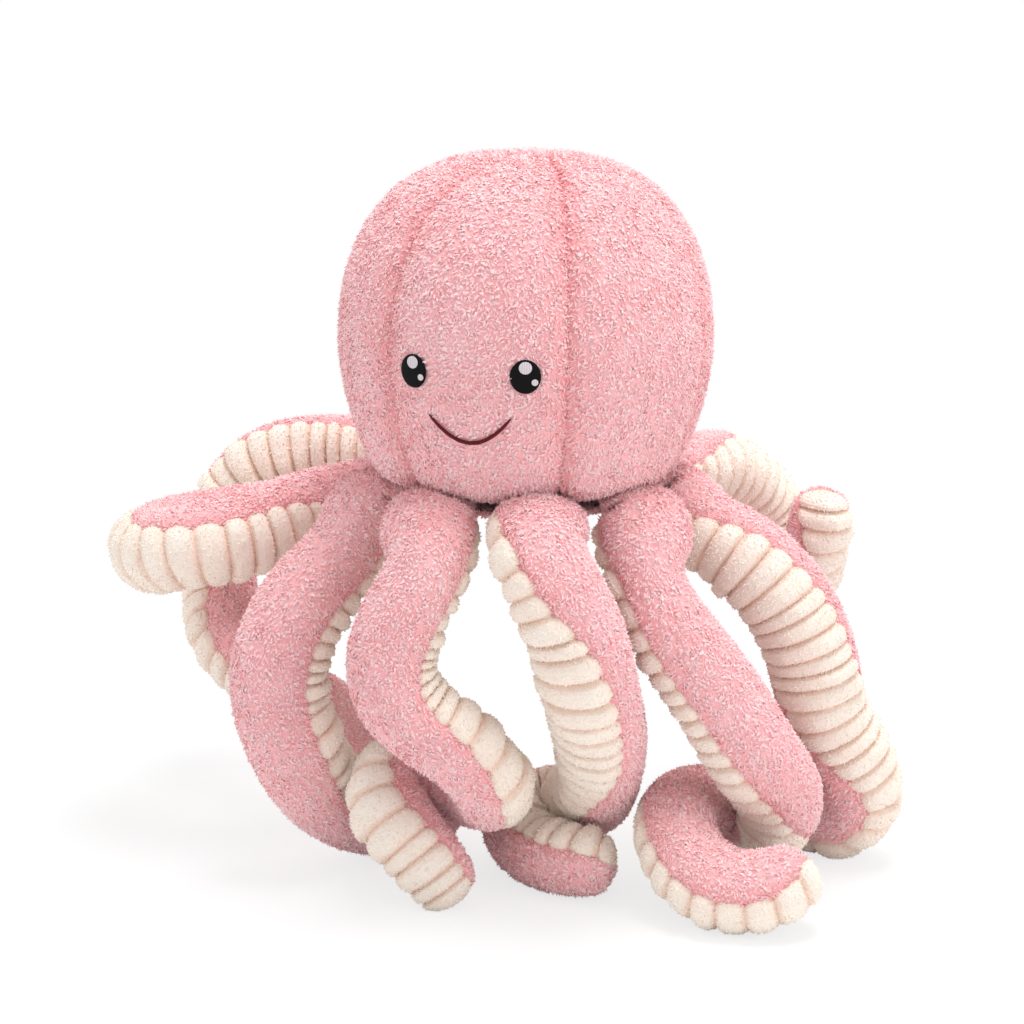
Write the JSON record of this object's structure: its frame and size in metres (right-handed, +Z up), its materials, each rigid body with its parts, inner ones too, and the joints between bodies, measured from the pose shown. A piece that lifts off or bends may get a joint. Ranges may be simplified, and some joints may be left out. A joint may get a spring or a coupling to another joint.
{
  "type": "plush octopus toy",
  "caption": "Soft stuffed octopus: a round pink plush head with an embroidered face, standing on long curled arms with cream ribbed undersides.",
  "frame": {"origin": "on the floor under the middle of the toy's footprint", "axes": "+Z is up, -Y is the way the face looks, +X is to the viewer's right when facing the toy"},
  "size_m": [0.4812, 0.3574, 0.426],
  "materials": {
    "pink_plush": "long-pile curly plush, matt",
    "cream_rib": "short-pile wide-rib plush, matt",
    "base_cloth": "short plush, matt",
    "white_stuffing": "loose polyester fibre filling",
    "black_thread": "satin-stitched thread, slight sheen",
    "white_thread": "satin-stitched thread",
    "red_thread": "a stitched line of dark red thread"
  },
  "bodies": {
    "head": {"head_gore_1": "pink_plush", "head_gore_2": "pink_plush", "head_gore_3": "pink_plush", "head_gore_4": "pink_plush", "head_gore_5": "pink_plush", "head_gore_6": "pink_plush", "base_panel": "base_cloth", "head_stuffing": "white_stuffing", "eye_right": "black_thread", "eye_left": "black_thread", "eye_glint_right": "white_thread", "eye_glint_left": "white_thread", "eye_small_glint_right": "white_thread", "eye_small_glint_left": "white_thread", "smile": "red_thread"},
    "arm_front_left": {"arm_front_left_plush": "pink_plush", "arm_front_left_ribs": "cream_rib", "arm_front_left_stuffing": "white_stuffing"},
    "arm_front_right": {"arm_front_right_plush": "pink_plush", "arm_front_right_ribs": "cream_rib", "arm_front_right_stuffing": "white_stuffing"},
    "arm_left_front": {"arm_left_front_plush": "pink_plush", "arm_left_front_ribs": "cream_rib", "arm_left_front_stuffing": "white_stuffing"},
    "arm_left_rear": {"arm_left_rear_plush": "pink_plush", "arm_left_rear_ribs": "cream_rib", "arm_left_rear_stuffing": "white_stuffing"},
    "arm_rear_left": {"arm_rear_left_plush": "pink_plush", "arm_rear_left_ribs": "cream_rib", "arm_rear_left_stuffing": "white_stuffing"},
    "arm_rear_right": {"arm_rear_right_plush": "pink_plush", "arm_rear_right_ribs": "cream_rib", "arm_rear_right_stuffing": "white_stuffing"},
    "arm_right_front": {"arm_right_front_plush": "pink_plush", "arm_right_front_ribs": "cream_rib", "arm_right_front_stuffing": "white_stuffing"},
    "arm_right_rear": {"arm_right_rear_plush": "pink_plush", "arm_right_rear_ribs": "cream_rib", "arm_right_rear_stuffing": "white_stuffing"}
  },
  "joints": [
    {"name": "front_left_root", "type": "hinge", "parent": "head", "child": "arm_front_left", "pos_m": [-0.00698, -0.10724, 0.2315], "axis": [-0.9239, 0.3827, 0], "range_deg": [-1, 25]},
    {"name": "front_right_root", "type": "hinge", "parent": "head", "child": "arm_front_right", "pos_m": [0.04919, -0.10595, 0.2315], "axis": [-0.9239, -0.3827, 0], "range_deg": [-25, 3]},
    {"name": "left_front_root", "type": "hinge", "parent": "head", "child": "arm_left_front", "pos_m": [-0.04868, -0.06782, 0.2315], "axis": [-0.3827, 0.9239, 0], "range_deg": [0, 35]},
    {"name": "left_rear_root", "type": "hinge", "parent": "head", "child": "arm_left_rear", "pos_m": [-0.0473, -0.01036, 0.2315], "axis": [0.3827, 0.9239, 0], "range_deg": [-12, 20]},
    {"name": "rear_left_root", "type": "hinge", "parent": "head", "child": "arm_rear_left", "pos_m": [-0.00671, 0.02899, 0.2315], "axis": [0.9239, 0.3827, 0], "range_deg": [-6, 15]},
    {"name": "rear_right_root", "type": "hinge", "parent": "head", "child": "arm_rear_right", "pos_m": [0.04928, 0.02858, 0.2315], "axis": [0.9239, -0.3827, 0], "range_deg": [-25, 10]},
    {"name": "right_front_root", "type": "hinge", "parent": "head", "child": "arm_right_front", "pos_m": [0.09171, -0.06794, 0.2315], "axis": [-0.3827, -0.9239, 0], "range_deg": [-1, 10]},
    {"name": "right_rear_root", "type": "hinge", "parent": "head", "child": "arm_right_rear", "pos_m": [0.09134, -0.00982, 0.2315], "axis": [0.3827, -0.9239, 0], "range_deg": [-1, 30]}
  ]
}
